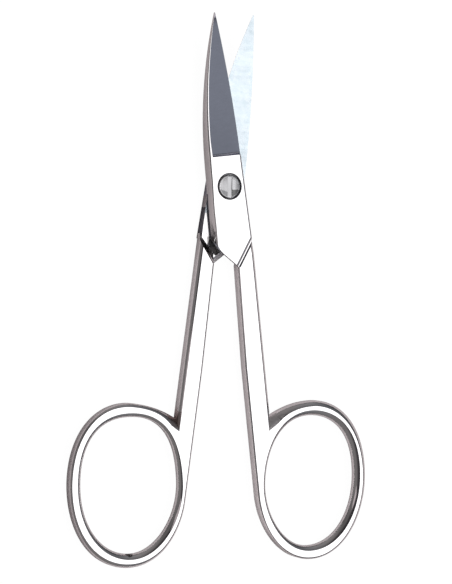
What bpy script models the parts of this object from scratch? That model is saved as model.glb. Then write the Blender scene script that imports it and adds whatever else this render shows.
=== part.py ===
# Small all-steel ring-handled thread snips: two mirrored forged halves and one slotted screw.
# The snips lie flat: +Y runs toward the tips, +Z is up, and the screw axis is the world Z axis.
# Each half is drawn flat in the closed position, then curved, turned open and scaled to metres.

from math import acos, asin, atan2, cos, hypot, pi, radians, sin, sqrt, tan

import bmesh
import bpy
from mathutils import Matrix, Vector
from mathutils.geometry import tessellate_polygon

# Every size below is in millimetres and every angle in degrees. Distances from the screw axis
# run toward the tip for the blade and toward the ring for the lap, the shank and the ring.
TO_METRES = 0.001

# Stock and pose
STOCK = 2.0               # thickness of the forged steel, lap and shank alike
LAP_GAP = 0.06            # running clearance between the two inner faces
REST_OPEN = 7.25          # angle of each half from closed, as in the photo

# Blade
BLADE_LENGTH = 28.2       # screw axis to tip
BLADE_HALF = 3.34         # half width at the widest place
WIDEST_AT = 1.6           # how far ahead of the screw the blade is widest
TIP_HALF = 0.10           # half width left at the blunt tip
TIP_THICK = 0.35          # spine thickness at the tip
EDGE_THICK = 0.05         # thickness left at the cutting edge
BLADE_CURVE = 2.35        # rise of the tip toward the front face
CURVE_START = 6.2         # distance from the screw where the rise starts
GRIND_START = 4.95        # where the ground bevel starts
GRIND_RUNOUT = 0.55       # length of the wheel's round mark at the start of the bevel
SPINE_LEAN = 0.035        # lean of the spine wall, as a share of the half width
SPINE_ROUND = 0.09        # rounding of the spine, as a share of the half width
SPINE_LAND = 0.15         # flat left between spine and bevel where the bevel starts
LAND_RUN = 15.5           # length over which that flat runs out
SPINE_TAPER = 1.4         # how late along the blade the spine thins
BLADE_ROWS = 18           # sections along the bevel
RUNOUT_ROWS = 4           # sections along the wheel's mark
LAP_ROWS = 10             # sections along the lap
ARC_STEPS = 3             # facets of the roundings across a section

# Lap around the screw
LAP_RIGHT = 2.95          # edge on the handle side, at the inner face
LAP_RIGHT_TOP = 2.78      # the same edge at the outer face, beside the screw
LAP_FLARE = 0.038         # widening of that edge for each millimetre toward the shank
LAP_ROUND_RIGHT = 0.46    # rounding of the outer face's edges
LAP_ROUND_LEFT = 0.27
LAP_LEAN = 0.08           # lean of the wall on the spine side, as a share of the half width
LEAN_BLEND = 6.0          # length over which the lap's lean and rounding ease into the blade's
LAP_BULGE = 3.62          # edge on the spine side, at its fullest
BULGE_AT = 4.5            # where that is
LAP_LOW = 3.75            # the same edge at the end of the blank
LAP_BLANK = 14.5          # length of the lap's blank before the free edge is cut
FREE_ANGLE = 44.0         # lean of the free edge and of the shoulder from the X axis
FREE_EDGE = 9.42          # screw axis to the lap's free edge
FREE_CORNER = 1.6         # run of the round corner between free edge and spine side
CHAMFER_RISE = 1.55       # height of the chamfer under the free edge
SHOULDER_FOOT = 8.08      # screw axis to the foot of the shoulder
SHOULDER_RUN = 1.35       # foot to crest of the shoulder, at the shank's outer side
SHOULDER_WIDE = 2.0       # the same past the inner side, where the hollow widens
WIDE_FROM = 2.4           # distance from the centre line where the widening starts
SHOULDER_COVE = 1.8       # radius of the hollow in the shoulder
SHOULDER_GAP = 0.12       # chamfer to shoulder, blades closed
STEP_ANGLE = 54.8         # lean of the step on the outer face from the X axis
STEP_TOP = 7.10           # screw axis to the upper line of the step
STEP_ROUNDS = (0.60, 0.70)  # the step drops over two rounds with a narrow ledge between
STEP_LEDGE = 0.06
STEP_LEAN = 0.12

# Shank and finger ring
SHANK_INNER = 0.20        # half of the gap between the closed shanks
SHANK_FLARE = 0.55        # how far the inner side draws back at the top of the shank
FLARE_FROM = 19.0         # where it starts to draw back
SHANK_OUTER = 3.55        # outer side of the shank from the centre line
SHANK_TOP = 5.0           # where the shank's blank begins, inside the lap
RING_TILT = 10.0          # lean of the ring's long axis, top away from the other ring
RING_AT = 50.1            # screw axis to the ring's centre
RING_OUT = (10.09, 13.30)   # half axes of the outer ellipse
RING_HOLE = (8.36, 11.06)   # half axes of the finger hole
HOLE_X = 10.12            # centre of the finger hole from the centre line
NOTCH_RISE = 2.8          # how far the ring fills up the corner with the shank
NOTCH_TURN = 47.5         # angle round the ring where that filling starts
ROUND_INNER = 0.25        # reach of the edge rounding: between the shanks,
ROUND_RING = 0.55         # round the ring,
ROUND_UPPER = 0.90        # on the ring's upper end,
ROUND_NOTCH = 2.6         # in the corner with the shank,
ROUND_SHANK = 0.75        # on the shank's outer side
ROUND_HOLE = 0.90         # and round the finger hole
EDGE_BAND = 0.10          # upright band left between the roundings of the two faces
ROUND_STEPS = 4
RING_STEPS = 96
NOTCH_STEPS = 8

# Screw
HEAD_RADIUS = 1.98
HEAD_RAISE = 0.02         # head above the outer face of the lap
HEAD_SINK = 0.60          # depth of the seat that the head sits in
HEAD_ROUND = 0.34         # rounding of the head's rim
HEAD_DISH = 0.13          # hollow of the head's top
SLOT_WIDTH = 0.77
SLOT_DEPTH = 0.45
SLOT_REACH = 1.58         # half length of the slot, which stops short of the rim
BEARING_RADIUS = 1.4      # plain part that the front half turns on
THREAD_RADIUS = 1.1       # part that stands in the back half
RUN_FIT = 0.03            # radial clearance of the turning fit
SCREW_FIT = 0.02          # radial clearance of the thread
HEAD_FIT = 0.20           # radial clearance of the head in its seat
SEAT_FIT = 0.05           # clearance under the head and at the shoulder of the thread
SCREW_STEPS = 48


def clear_scene():
    for item in list(bpy.data.objects):
        bpy.data.objects.remove(item, do_unlink=True)


def steel(name, colour, roughness):
    material = bpy.data.materials.new(name)
    material.use_nodes = True
    shader = material.node_tree.nodes["Principled BSDF"]
    shader.inputs["Base Color"].default_value = (*colour, 1.0)
    shader.inputs["Roughness"].default_value = roughness
    shader.inputs["Metallic"].default_value = 1.0
    return material


# Mesh helpers

def skin(loops):
    # Quads between loops of equal length, with a flat cap at each end.
    bm = bmesh.new()
    rings = [[bm.verts.new(point) for point in loop] for loop in loops]
    count = len(rings[0])
    for low, high in zip(rings, rings[1:]):
        for i in range(count):
            j = (i + 1) % count
            bm.faces.new((low[i], low[j], high[j], high[i]))
    bm.faces.new(rings[0][::-1])
    bm.faces.new(rings[-1])
    bmesh.ops.recalc_face_normals(bm, faces=bm.faces)
    return bm


def slice_off(item, point, normal):
    # Remove what lies beyond the plane on the side its normal points to, and close the cut.
    bm = bmesh.new()
    bm.from_mesh(item.data)
    geometry = bm.verts[:] + bm.edges[:] + bm.faces[:]
    bmesh.ops.bisect_plane(bm, geom=geometry, plane_co=point, plane_no=normal, clear_outer=True)
    bmesh.ops.holes_fill(bm, edges=[edge for edge in bm.edges if edge.is_boundary], sides=0)
    bmesh.ops.recalc_face_normals(bm, faces=bm.faces)
    bm.to_mesh(item.data)
    bm.free()


def to_object(bm, name):
    mesh = bpy.data.meshes.new(name)
    bm.to_mesh(mesh)
    bm.free()
    item = bpy.data.objects.new(name, mesh)
    bpy.context.scene.collection.objects.link(item)
    return item


def combine(body, tool, operation):
    # Exact Boolean of two scratch objects; both are removed and the result comes back.
    modifier = body.modifiers.new("combine", "BOOLEAN")
    modifier.operation = operation
    modifier.solver = "EXACT"
    modifier.object = tool
    graph = bpy.context.evaluated_depsgraph_get()
    mesh = bpy.data.meshes.new_from_object(body.evaluated_get(graph))
    name = body.name
    bpy.data.objects.remove(tool, do_unlink=True)
    bpy.data.objects.remove(body, do_unlink=True)
    result = bpy.data.objects.new(name, mesh)
    bpy.context.scene.collection.objects.link(result)
    return result


def lathe(profile):
    # Solid of revolution about Z from (radius, height) pairs, bottom to top.
    angles = [2 * pi * i / SCREW_STEPS for i in range(SCREW_STEPS)]
    return skin([[(r * cos(a), r * sin(a), z) for a in angles] for r, z in profile])


def unit(angle):
    return cos(radians(angle)), sin(radians(angle))


def blend(start, end, share):
    return start + (end - start) * share


def fillet(before, corner, after, radius, steps):
    # Points of a round between two straight lines that meet in a corner.
    before, corner, after = Vector(before), Vector(corner), Vector(after)
    one = (before - corner).normalized()
    two = (after - corner).normalized()
    half = one.angle(two) / 2
    start = corner + one * (radius / tan(half))
    centre = corner + (one + two).normalized() * (radius / sin(half))
    spoke = start - centre
    sweep = (pi - 2 * half) * (1 if spoke.cross(one) < 0 else -1)
    return [centre + spoke @ Matrix.Rotation(-sweep * i / steps, 2) for i in range(steps + 1)]


# Lap and blade of one half, flat, inner face at half the lap gap

def blade_half_width(y):
    reach = (y - WIDEST_AT) / (BLADE_LENGTH - WIDEST_AT)
    return blend(TIP_HALF, BLADE_HALF, 1 - reach * abs(reach))


def spine_side(y):
    # The left edge at the inner face: the blade's curve, then the bulge and the lap's long side.
    if y >= WIDEST_AT:
        return blade_half_width(y)
    if y <= -BULGE_AT:
        return blend(LAP_BULGE, LAP_LOW, (-y - BULGE_AT) / (LAP_BLANK - BULGE_AT))
    t = (y + BULGE_AT) / (WIDEST_AT + BULGE_AT)
    return blend(LAP_BULGE, BLADE_HALF, t * t * (3 - 2 * t))


def into_blade(y):
    return min(1.0, max(0.0, (y + LEAN_BLEND) / LEAN_BLEND))


def crest_side(y):
    return spine_side(y) * (1 - blend(LAP_LEAN, SPINE_LEAN, into_blade(y)))


def spine_round(y):
    return blend(LAP_ROUND_LEFT, SPINE_ROUND * spine_side(y), into_blade(y))


def land_edge(y):
    # Where the flat beside the spine ends; on the blade it runs out before the tip.
    left = max(0.0, 1 - max(0.0, y - GRIND_START) / LAND_RUN)
    return SPINE_LAND * left + spine_round(y) - crest_side(y)


def spine_height(y):
    along = max(0.0, (y - GRIND_START) / (BLADE_LENGTH - GRIND_START))
    return blend(STOCK, TIP_THICK, along ** SPINE_TAPER)


def section(y, right_corner):
    # Inner face from spine to edge, the right corner, then the land and the rounded spine.
    low = LAP_GAP / 2
    top = spine_height(y)
    left = spine_side(y)
    land = (land_edge(y), top)
    spine = fillet(land, (-crest_side(y), top), (-left, low), spine_round(y), ARC_STEPS)
    points = [(-left, low), (0, low)] + right_corner + [land] + spine
    return [(x, y, z) for x, z in points]


def lap_corner(y):
    low = LAP_GAP / 2
    top = LAP_RIGHT_TOP - LAP_FLARE * y
    return [(LAP_RIGHT, low)] + fillet((LAP_RIGHT, low), (top, STOCK), (0, STOCK), LAP_ROUND_RIGHT, ARC_STEPS)


def edge_corner(y):
    # The cutting edge and the bevel's foot, with as many points as the lap's corner.
    low = LAP_GAP / 2
    half = blade_half_width(y)
    edge = Vector((half, low + EDGE_THICK))
    land = Vector((land_edge(y), spine_height(y)))
    return [(half, low)] + [edge.lerp(land, i / (ARC_STEPS + 1)) for i in range(ARC_STEPS + 1)]


def blade_sections():
    grind_end = GRIND_START + GRIND_RUNOUT
    lap_rows = [blend(-LAP_BLANK, GRIND_START, i / LAP_ROWS) for i in range(LAP_ROWS + 1)]
    bevel_rows = [blend(grind_end, BLADE_LENGTH, i / BLADE_ROWS) for i in range(BLADE_ROWS + 1)]
    sections = [section(y, lap_corner(y)) for y in lap_rows]
    for i in range(1, RUNOUT_ROWS):
        # The wheel's mark falls along a quarter round from the lap's corner to the bevel.
        t = i / RUNOUT_ROWS
        drop = sqrt(1 - (1 - t) ** 2)
        pairs = zip(lap_corner(GRIND_START), edge_corner(grind_end))
        corner = [Vector(before).lerp(Vector(after), drop) for before, after in pairs]
        sections.append(section(blend(GRIND_START, grind_end, t), corner))
    return sections + [section(y, edge_corner(y)) for y in bevel_rows]


def free_edge_axes():
    # Directions in the flat: out from the screw square to the free edge, and along it to the shank.
    nx, ny = unit(FREE_ANGLE - 90)
    return Vector((-nx, ny)), Vector((-ny, -nx))


def free_edge_cutter():
    # Prism of all that lies beyond the free edge and its round corner.
    out, along = free_edge_axes()
    side = -spine_side(-FREE_EDGE)
    corner = out * FREE_EDGE + along * ((side - out.x * FREE_EDGE) / along.x)
    up = Vector((0, 1))
    radius = FREE_CORNER * tan(up.angle(along) / 2)
    arc = fillet(corner + up, corner, corner + along, radius, 2 * ARC_STEPS)
    start = arc[0] + up * FREE_EDGE - Vector((STOCK, 0))
    end = arc[-1] + along * BLADE_LENGTH
    path = [start] + arc + [end, end + out * BLADE_LENGTH, start - Vector((BLADE_LENGTH, 0))]
    return to_object(skin([[(*p, z) for p in path] for z in (-STOCK, 2 * STOCK)]), "free_edge")


def along_step(profile, angle, ends):
    # Prism of a (distance from the screw, height) profile along a line square to that angle.
    nx, ny = unit(angle - 90)
    loops = [[(nx * u - ny * s, ny * u + nx * s, z) for u, z in profile] for s in ends]
    return skin(loops)


def step_cutter():
    # The step drops the outer face from the lap to the shank over two rounds and a ledge.
    turns = [i * pi / 2 / ROUND_STEPS for i in range(ROUND_STEPS + 1)]
    u, z = STEP_TOP, STOCK
    profile = [(u, 2 * STOCK)]
    for r in STEP_ROUNDS:
        profile += [(u + r * sin(a), z - r * (1 - cos(a))) for a in turns]
        u, z = u + r + STEP_LEDGE, z - r
    foot = u - STEP_LEDGE + STEP_LEAN
    profile += [(foot, -STOCK), (foot + BLADE_LENGTH, -STOCK), (foot + BLADE_LENGTH, 2 * STOCK)]
    return to_object(along_step(profile, STEP_ANGLE, (-LAP_BLANK, LAP_BLANK)), "step")


def lap_and_blade():
    plate = to_object(skin(blade_sections()), "lap")
    plate = combine(plate, free_edge_cutter(), "DIFFERENCE")
    plate = combine(plate, step_cutter(), "DIFFERENCE")
    # The chamfer under the free edge seats against the other half's shoulder.
    out, along = free_edge_axes()
    foot = SHOULDER_FOOT - SHOULDER_GAP
    lean = Vector((*(out * CHAMFER_RISE), foot - FREE_EDGE))
    slice_off(plate, Vector((*(out * foot), LAP_GAP / 2)), lean)
    return plate


# Shank and ring of one half, flat, centred on the inner plane

def ellipse_point(centre, axes, angle):
    ct, st = unit(-RING_TILT)
    x, y = axes[0] * cos(angle), axes[1] * sin(angle)
    return Vector((centre[0] + x * ct - y * st, centre[1] + x * st + y * ct))


def handle_outline():
    a, b = RING_OUT
    ct, st = unit(-RING_TILT)
    reach = hypot(a * ct, b * st)
    centre = (SHANK_INNER + reach, -RING_AT)
    leftmost = atan2(-b * st, a * ct) + pi
    notch = leftmost + 2 * pi - acos((centre[0] - SHANK_OUTER) / reach)
    stop = notch - radians(NOTCH_TURN)
    points = [Vector((SHANK_INNER + SHANK_FLARE, -SHANK_TOP)), Vector((SHANK_INNER, -FLARE_FROM))]
    points += [
        ellipse_point(centre, RING_OUT, blend(leftmost, stop, i / RING_STEPS))
        for i in range(RING_STEPS + 1)
    ]
    # The ring fills out toward the shank and meets it in a plain sharp notch.
    start = points[-1]
    heading = (start - points[-2]).normalized()
    tip = Vector((SHANK_OUTER, ellipse_point(centre, RING_OUT, notch).y + NOTCH_RISE))
    middle = start + heading * (tip - start).length / 2
    for i in range(1, NOTCH_STEPS + 1):
        t = i / NOTCH_STEPS
        points.append(start.lerp(middle, t).lerp(middle.lerp(tip, t), t))
    points += [tip + Vector((0, ROUND_SHANK)), Vector((SHANK_OUTER, -SHANK_TOP))]
    return points


def hole_outline():
    centre = (HOLE_X, -RING_AT)
    return [ellipse_point(centre, RING_HOLE, -2 * pi * i / RING_STEPS) for i in range(RING_STEPS)]


def edge_rounds(count):
    # Reach of the rounding at each point of the outline, from the inner side round to the shank.
    stages = [
        (0.0, ROUND_INNER), (0.28, ROUND_RING), (0.60, ROUND_RING), (0.90, ROUND_UPPER), (1.0, ROUND_NOTCH),
    ]
    reach = []
    for i in range(count):
        t = min(1.0, max(0.0, (i - 2) / (count - 5)))
        (start, before), (end, after) = [pair for pair in zip(stages, stages[1:]) if pair[0][0] <= t][-1]
        part = (t - start) / (end - start)
        reach.append(blend(before, after, part * part))
    return reach[:-2] + [ROUND_SHANK, ROUND_SHANK]


def insets(points, reach):
    # The way from each point of an edge to the flat; a corner keeps its distance to both sides.
    moves = []
    for i, point in enumerate(points):
        follow = (i + 1) % len(points)
        one = (point - points[i - 1]).orthogonal().normalized()
        two = (points[follow] - point).orthogonal().normalized()
        turn = one.cross(two)
        if abs(turn) < 0.3:
            lean = (one + two).normalized()
            moves.append(lean * (reach[i] / lean.dot(one)))
        else:
            a, b = reach[i - 1], reach[follow]
            moves.append(Vector((a * two.y - b * one.y, b * one.x - a * two.x)) / turn)
    return moves


def handle():
    # Rounded plate: stacked loops of the outline and of the hole, closed by flat faces.
    outline, hole = handle_outline(), hole_outline()
    turns = [i * pi / 2 / ROUND_STEPS for i in range(ROUND_STEPS + 1)]
    bm = bmesh.new()
    bottoms, tops = [], []
    for points, reach in ((outline, edge_rounds(len(outline))), (hole, [ROUND_HOLE] * len(hole))):
        moves = insets(points, reach)
        drops = [min(r, (STOCK - EDGE_BAND) / 2) for r in reach]
        rings = []
        for side, order in ((-1, turns[::-1]), (1, turns)):
            for a in order:
                heights = [side * (STOCK / 2 - drop * (1 - sin(a))) for drop in drops]
                edge = [point + move * (1 - cos(a)) for point, move in zip(points, moves)]
                rings.append([bm.verts.new((*p, z)) for p, z in zip(edge, heights)])
        for low, high in zip(rings, rings[1:]):
            for i in range(len(points)):
                bm.faces.new((low[i - 1], low[i], high[i], high[i - 1]))
        bottoms.append(rings[0])
        tops.append(rings[-1])
    for rims in (bottoms, tops):
        flat = [vert for rim in rims for vert in rim]
        for triangle in tessellate_polygon([[vert.co for vert in rim] for rim in rims]):
            bm.faces.new([flat[i] for i in triangle])
    bmesh.ops.recalc_face_normals(bm, faces=bm.faces)
    return to_object(bm, "handle")


def shoulder_profile(run):
    # Everything on the screw's side of the hollow shoulder, from its foot to its crest.
    foot = Vector((SHOULDER_FOOT, LAP_GAP / 2))
    crest = Vector((SHOULDER_FOOT + run, -STOCK / 2))
    chord = crest - foot
    away = Vector((chord.y, -chord.x)).normalized()
    centre = (foot + crest) / 2 + away * sqrt(SHOULDER_COVE ** 2 - (chord.length / 2) ** 2)
    first = asin((foot.y - centre.y) / SHOULDER_COVE)
    last = asin((crest.y - centre.y) / SHOULDER_COVE)
    steps = 2 * ROUND_STEPS
    arc = [blend(first, last, i / steps) for i in range(1, steps + 1)]
    profile = [(-STOCK, -STOCK), (-STOCK, STOCK), (SHOULDER_FOOT, STOCK), (foot.x, foot.y + LAP_GAP)]
    profile += [(centre.x + SHOULDER_COVE * cos(a), centre.y + SHOULDER_COVE * sin(a)) for a in arc]
    return profile + [(crest.x + STOCK / 2, -STOCK)]


def shoulder_cutter():
    # Prism along the shoulder, whose hollow widens toward the inner side of the shank.
    nx, ny = unit(FREE_ANGLE - 90)
    loops = []
    for x, run in ((-STOCK, SHOULDER_WIDE), (WIDE_FROM, SHOULDER_RUN), (2 * SHANK_OUTER, SHOULDER_RUN)):
        s = (nx * SHOULDER_FOOT - x) / ny
        loops.append([(nx * u - ny * s, ny * u + nx * s, z) for u, z in shoulder_profile(run)])
    return to_object(skin(loops), "shoulder")


# Whole halves and screw

def half_body():
    shank = combine(handle(), shoulder_cutter(), "DIFFERENCE")
    return combine(lap_and_blade(), shank, "UNION")


def finish(item, name, material, place, turn):
    # Clean the flat solid, curve its blade, turn it about the screw and stand it on Z = 0.
    mesh = item.data
    mesh.transform(place)
    bm = bmesh.new()
    bm.from_mesh(mesh)
    bmesh.ops.remove_doubles(bm, verts=bm.verts, dist=0.002)
    bmesh.ops.dissolve_degenerate(bm, edges=bm.edges, dist=0.001)
    bmesh.ops.triangulate(bm, faces=bm.faces)
    for vert in bm.verts:
        reach = hypot(vert.co.x, vert.co.y)
        if vert.co.y > 0 and reach > CURVE_START:
            along = (reach - CURVE_START) / (BLADE_LENGTH - CURVE_START)
            vert.co.z += BLADE_CURVE * along * along
    bmesh.ops.recalc_face_normals(bm, faces=bm.faces)
    bm.to_mesh(mesh)
    bm.free()
    lift = Matrix.Translation((0, 0, STOCK))
    scale = Matrix.Scale(TO_METRES, 4)
    mesh.transform(scale @ lift @ Matrix.Rotation(radians(turn), 4, "Z"))
    item.name = name
    mesh.name = name
    mesh.materials.clear()
    mesh.materials.append(material)


def front_half(material):
    # The bore turns on the screw's plain part and the seat takes its head.
    bore = BEARING_RADIUS + RUN_FIT
    seat = HEAD_RADIUS + HEAD_FIT
    floor = STOCK - HEAD_SINK
    profile = [(bore, -STOCK), (bore, floor), (seat, floor), (seat, 2 * STOCK)]
    body = combine(half_body(), to_object(lathe(profile), "bore"), "DIFFERENCE")
    finish(body, "front_half", material, Matrix.Identity(4), REST_OPEN)


def back_half(material):
    hole = THREAD_RADIUS + SCREW_FIT
    profile = [(hole, -STOCK), (hole, 2 * STOCK)]
    body = combine(half_body(), to_object(lathe(profile), "hole"), "DIFFERENCE")
    # The same half turned over about its length.
    finish(body, "back_half", material, Matrix.Rotation(pi, 4, "Y"), -REST_OPEN)


def pivot_screw(material):
    seat = STOCK - HEAD_SINK + SEAT_FIT
    top = STOCK + HEAD_RAISE
    rest = -LAP_GAP / 2 + SEAT_FIT
    rim = HEAD_RADIUS - HEAD_ROUND
    turns = [i * pi / 2 / ROUND_STEPS for i in range(ROUND_STEPS + 1)]
    profile = [(THREAD_RADIUS, -STOCK), (THREAD_RADIUS, rest), (BEARING_RADIUS, rest)]
    profile += [(BEARING_RADIUS, seat), (HEAD_RADIUS, seat)]
    profile += [(rim + HEAD_ROUND * cos(a), top - HEAD_ROUND * (1 - sin(a))) for a in turns]
    for i in range(1, ROUND_STEPS):
        share = 1 - i / ROUND_STEPS
        profile.append((rim * share, top - HEAD_DISH * (1 - share ** 2)))
    body = to_object(lathe(profile), "screw")
    half, low = SLOT_WIDTH / 2, top - SLOT_DEPTH
    corners = [(-half, -SLOT_REACH), (half, -SLOT_REACH), (half, SLOT_REACH), (-half, SLOT_REACH)]
    slot = to_object(skin([[(x, y, z) for x, y in corners] for z in (low, top + STOCK)]), "slot")
    body = combine(body, slot, "DIFFERENCE")
    finish(body, "pivot_screw", material, Matrix.Identity(4), 0)


clear_scene()
front_half(steel("polished_steel_front", (0.80, 0.80, 0.81), 0.16))
back_half(steel("polished_steel_back", (0.78, 0.79, 0.80), 0.20))
pivot_screw(steel("screw_steel", (0.62, 0.62, 0.63), 0.32))
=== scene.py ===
from math import acos, asin, atan2, cos, hypot, pi, radians, sin, sqrt, tan

import bmesh
import bpy
from mathutils import Matrix, Vector
from mathutils.geometry import tessellate_polygon


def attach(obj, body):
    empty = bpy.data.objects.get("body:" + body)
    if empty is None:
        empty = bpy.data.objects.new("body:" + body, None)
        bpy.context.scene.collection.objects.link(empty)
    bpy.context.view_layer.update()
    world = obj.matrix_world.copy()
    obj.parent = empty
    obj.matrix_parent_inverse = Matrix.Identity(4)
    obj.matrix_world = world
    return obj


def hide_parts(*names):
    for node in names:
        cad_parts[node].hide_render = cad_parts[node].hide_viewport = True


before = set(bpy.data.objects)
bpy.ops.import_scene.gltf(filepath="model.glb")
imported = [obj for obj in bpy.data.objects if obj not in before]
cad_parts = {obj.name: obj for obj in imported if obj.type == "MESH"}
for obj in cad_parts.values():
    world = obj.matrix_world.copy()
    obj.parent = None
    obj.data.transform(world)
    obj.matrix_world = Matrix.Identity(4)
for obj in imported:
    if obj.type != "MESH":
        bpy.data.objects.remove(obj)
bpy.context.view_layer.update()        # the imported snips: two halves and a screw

mm = 0.001               # the pieces are drawn in millimetres, flat and closed
print("frame loaded:", sorted(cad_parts))


# mesh helpers

def skin(loops, faceMaterial=None):
    # a closed solid over loops of equal count
    bm = bmesh.new()
    rings = [[bm.verts.new(point) for point in loop] for loop in loops]
    count = len(rings[0])
    for row, (lower, upper) in enumerate(zip(rings, rings[1:])):
        for i in range(count):
            j = (i + 1) % count
            face = bm.faces.new((lower[i], lower[j], upper[j], upper[i]))
            if faceMaterial:
                face.material_index = faceMaterial(row, i)
    bm.faces.new(rings[0][::-1])
    bm.faces.new(rings[-1])
    bmesh.ops.recalc_face_normals(bm, faces=bm.faces)
    return bm


def sliceOff(bm, point, normal, finish):
    # cuts away what lies beyond the plane and closes the cut
    geometry = bm.verts[:] + bm.edges[:] + bm.faces[:]
    bmesh.ops.bisect_plane(bm, geom=geometry, plane_co=point, plane_no=normal, clear_outer=True)
    filled = bmesh.ops.holes_fill(bm, edges=[edge for edge in bm.edges if edge.is_boundary], sides=0)
    for face in filled["faces"]:
        face.material_index = finish
    bmesh.ops.recalc_face_normals(bm, faces=bm.faces)


def toObject(bm, name, materials):
    mesh = bpy.data.meshes.new(name)
    bm.to_mesh(mesh)
    bm.free()
    item = bpy.data.objects.new(name, mesh)
    for material in materials:
        mesh.materials.append(material)
    bpy.context.scene.collection.objects.link(item)
    return item


def applied(item):
    # the same object with its modifiers made real
    graph = bpy.context.evaluated_depsgraph_get()
    mesh = bpy.data.meshes.new_from_object(item.evaluated_get(graph))
    name = item.name
    bpy.data.objects.remove(item, do_unlink=True)
    result = bpy.data.objects.new(name, mesh)
    bpy.context.scene.collection.objects.link(result)
    return result


def combine(body, tool, operation):
    modifier = body.modifiers.new("combine", "BOOLEAN")
    modifier.operation = operation
    modifier.solver = "EXACT"
    modifier.object = tool
    result = applied(body)
    bpy.data.objects.remove(tool, do_unlink=True)
    return result


def lathe(profile, steps):
    angles = [2 * pi * i / steps for i in range(steps)]
    return skin([[(r * cos(a), r * sin(a), z) for a in angles] for r, z in profile])


def unit(angle):
    return cos(radians(angle)), sin(radians(angle))


def blendTo(start, end, t):
    return start + (end - start) * t


# shader helpers

def addNode(tree, kind, **settings):
    node = tree.nodes.new(kind)
    for name, value in settings.items():
        if name in node.inputs:
            node.inputs[name].default_value = value
        else:
            setattr(node, name, value)
    return node


def newGroup(name, inputs, outputs):
    tree = bpy.data.node_groups.new(name, "ShaderNodeTree")
    for label, kind in inputs:
        tree.interface.new_socket(name=label, in_out="INPUT", socket_type=kind)
    for label, kind in outputs:
        tree.interface.new_socket(name=label, in_out="OUTPUT", socket_type=kind)
    return tree, tree.nodes.new("NodeGroupInput"), tree.nodes.new("NodeGroupOutput")


def addGroup(tree, group, **values):
    node = tree.nodes.new("ShaderNodeGroup")
    node.node_tree = group
    for name, value in values.items():
        node.inputs[name].default_value = value
    return node


def ranged(tree, source, low, high, start=0.0, end=1.0):
    node = addNode(tree, "ShaderNodeMapRange")
    tree.links.new(source, node.inputs["Value"])
    node.inputs["From Min"].default_value = start
    node.inputs["From Max"].default_value = end
    node.inputs["To Min"].default_value = low
    node.inputs["To Max"].default_value = high
    return node.outputs["Result"]


def colourMix(tree, share):
    # a mix of two colours: their sockets and the mixed colour
    node = addNode(tree, "ShaderNodeMix", data_type="RGBA")
    tree.links.new(share, node.inputs["Factor"])
    first, second = [socket for socket in node.inputs if socket.type == "RGBA"]
    return first, second, [socket for socket in node.outputs if socket.type == "RGBA"][0]


def toned(tree, share, startTone, endTone):
    first, second, mixed = colourMix(tree, share)
    first.default_value = (*startTone, 1)
    second.default_value = (*endTone, 1)
    return mixed


def coated(tree, share, under, coat):
    # one plain tone over a tone that varies
    first, second, mixed = colourMix(tree, share)
    tree.links.new(under, first)
    second.default_value = (*coat, 1)
    return mixed


def makeGrindLines():
    # fine parallel marks left by a wheel or belt; Density is marks per metre along each axis
    tree, give, take = newGroup(
        "grindLines",
        [("Vector", "NodeSocketVector"), ("Density", "NodeSocketVector")],
        [("Lines", "NodeSocketFloat"), ("Streaks", "NodeSocketFloat")],
    )
    stretch = addNode(tree, "ShaderNodeVectorMath", operation="MULTIPLY")
    tree.links.new(give.outputs["Vector"], stretch.inputs[0])
    tree.links.new(give.outputs["Density"], stretch.inputs[1])
    fine = addNode(tree, "ShaderNodeTexNoise", Scale=1.0, Detail=4.0, Roughness=0.65)
    broad = addNode(tree, "ShaderNodeTexNoise", Scale=0.16, Detail=2.0, Roughness=0.5)
    for noise in (fine, broad):
        tree.links.new(stretch.outputs[0], noise.inputs["Vector"])
    tree.links.new(fine.outputs["Fac"], take.inputs["Lines"])
    tree.links.new(ranged(tree, broad.outputs["Fac"], 0, 1, 0.35, 0.65), take.inputs["Streaks"])
    return tree


def makeHandlingHaze():
    # faint smudges and pin spots from handling; Size is smudges per metre
    tree, give, take = newGroup(
        "handlingHaze",
        [("Vector", "NodeSocketVector"), ("Size", "NodeSocketFloat")],
        [("Haze", "NodeSocketFloat"), ("Spots", "NodeSocketFloat")],
    )
    cloud = addNode(tree, "ShaderNodeTexNoise", Detail=5.0, Roughness=0.6, Distortion=0.8)
    cells = addNode(tree, "ShaderNodeTexVoronoi", feature="F1")
    more = addNode(tree, "ShaderNodeMath", operation="MULTIPLY")
    more.inputs[1].default_value = 3.0      # spots for each smudge
    tree.links.new(give.outputs["Size"], more.inputs[0])
    tree.links.new(give.outputs["Size"], cloud.inputs["Scale"])
    tree.links.new(more.outputs[0], cells.inputs["Scale"])
    for noise in (cloud, cells):
        tree.links.new(give.outputs["Vector"], noise.inputs["Vector"])
    tree.links.new(ranged(tree, cloud.outputs["Fac"], 0, 1, 0.38, 0.68), take.inputs["Haze"])
    tree.links.new(ranged(tree, cells.outputs["Distance"], 1, 0, 0.02, 0.16), take.inputs["Spots"])
    return tree


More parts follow.
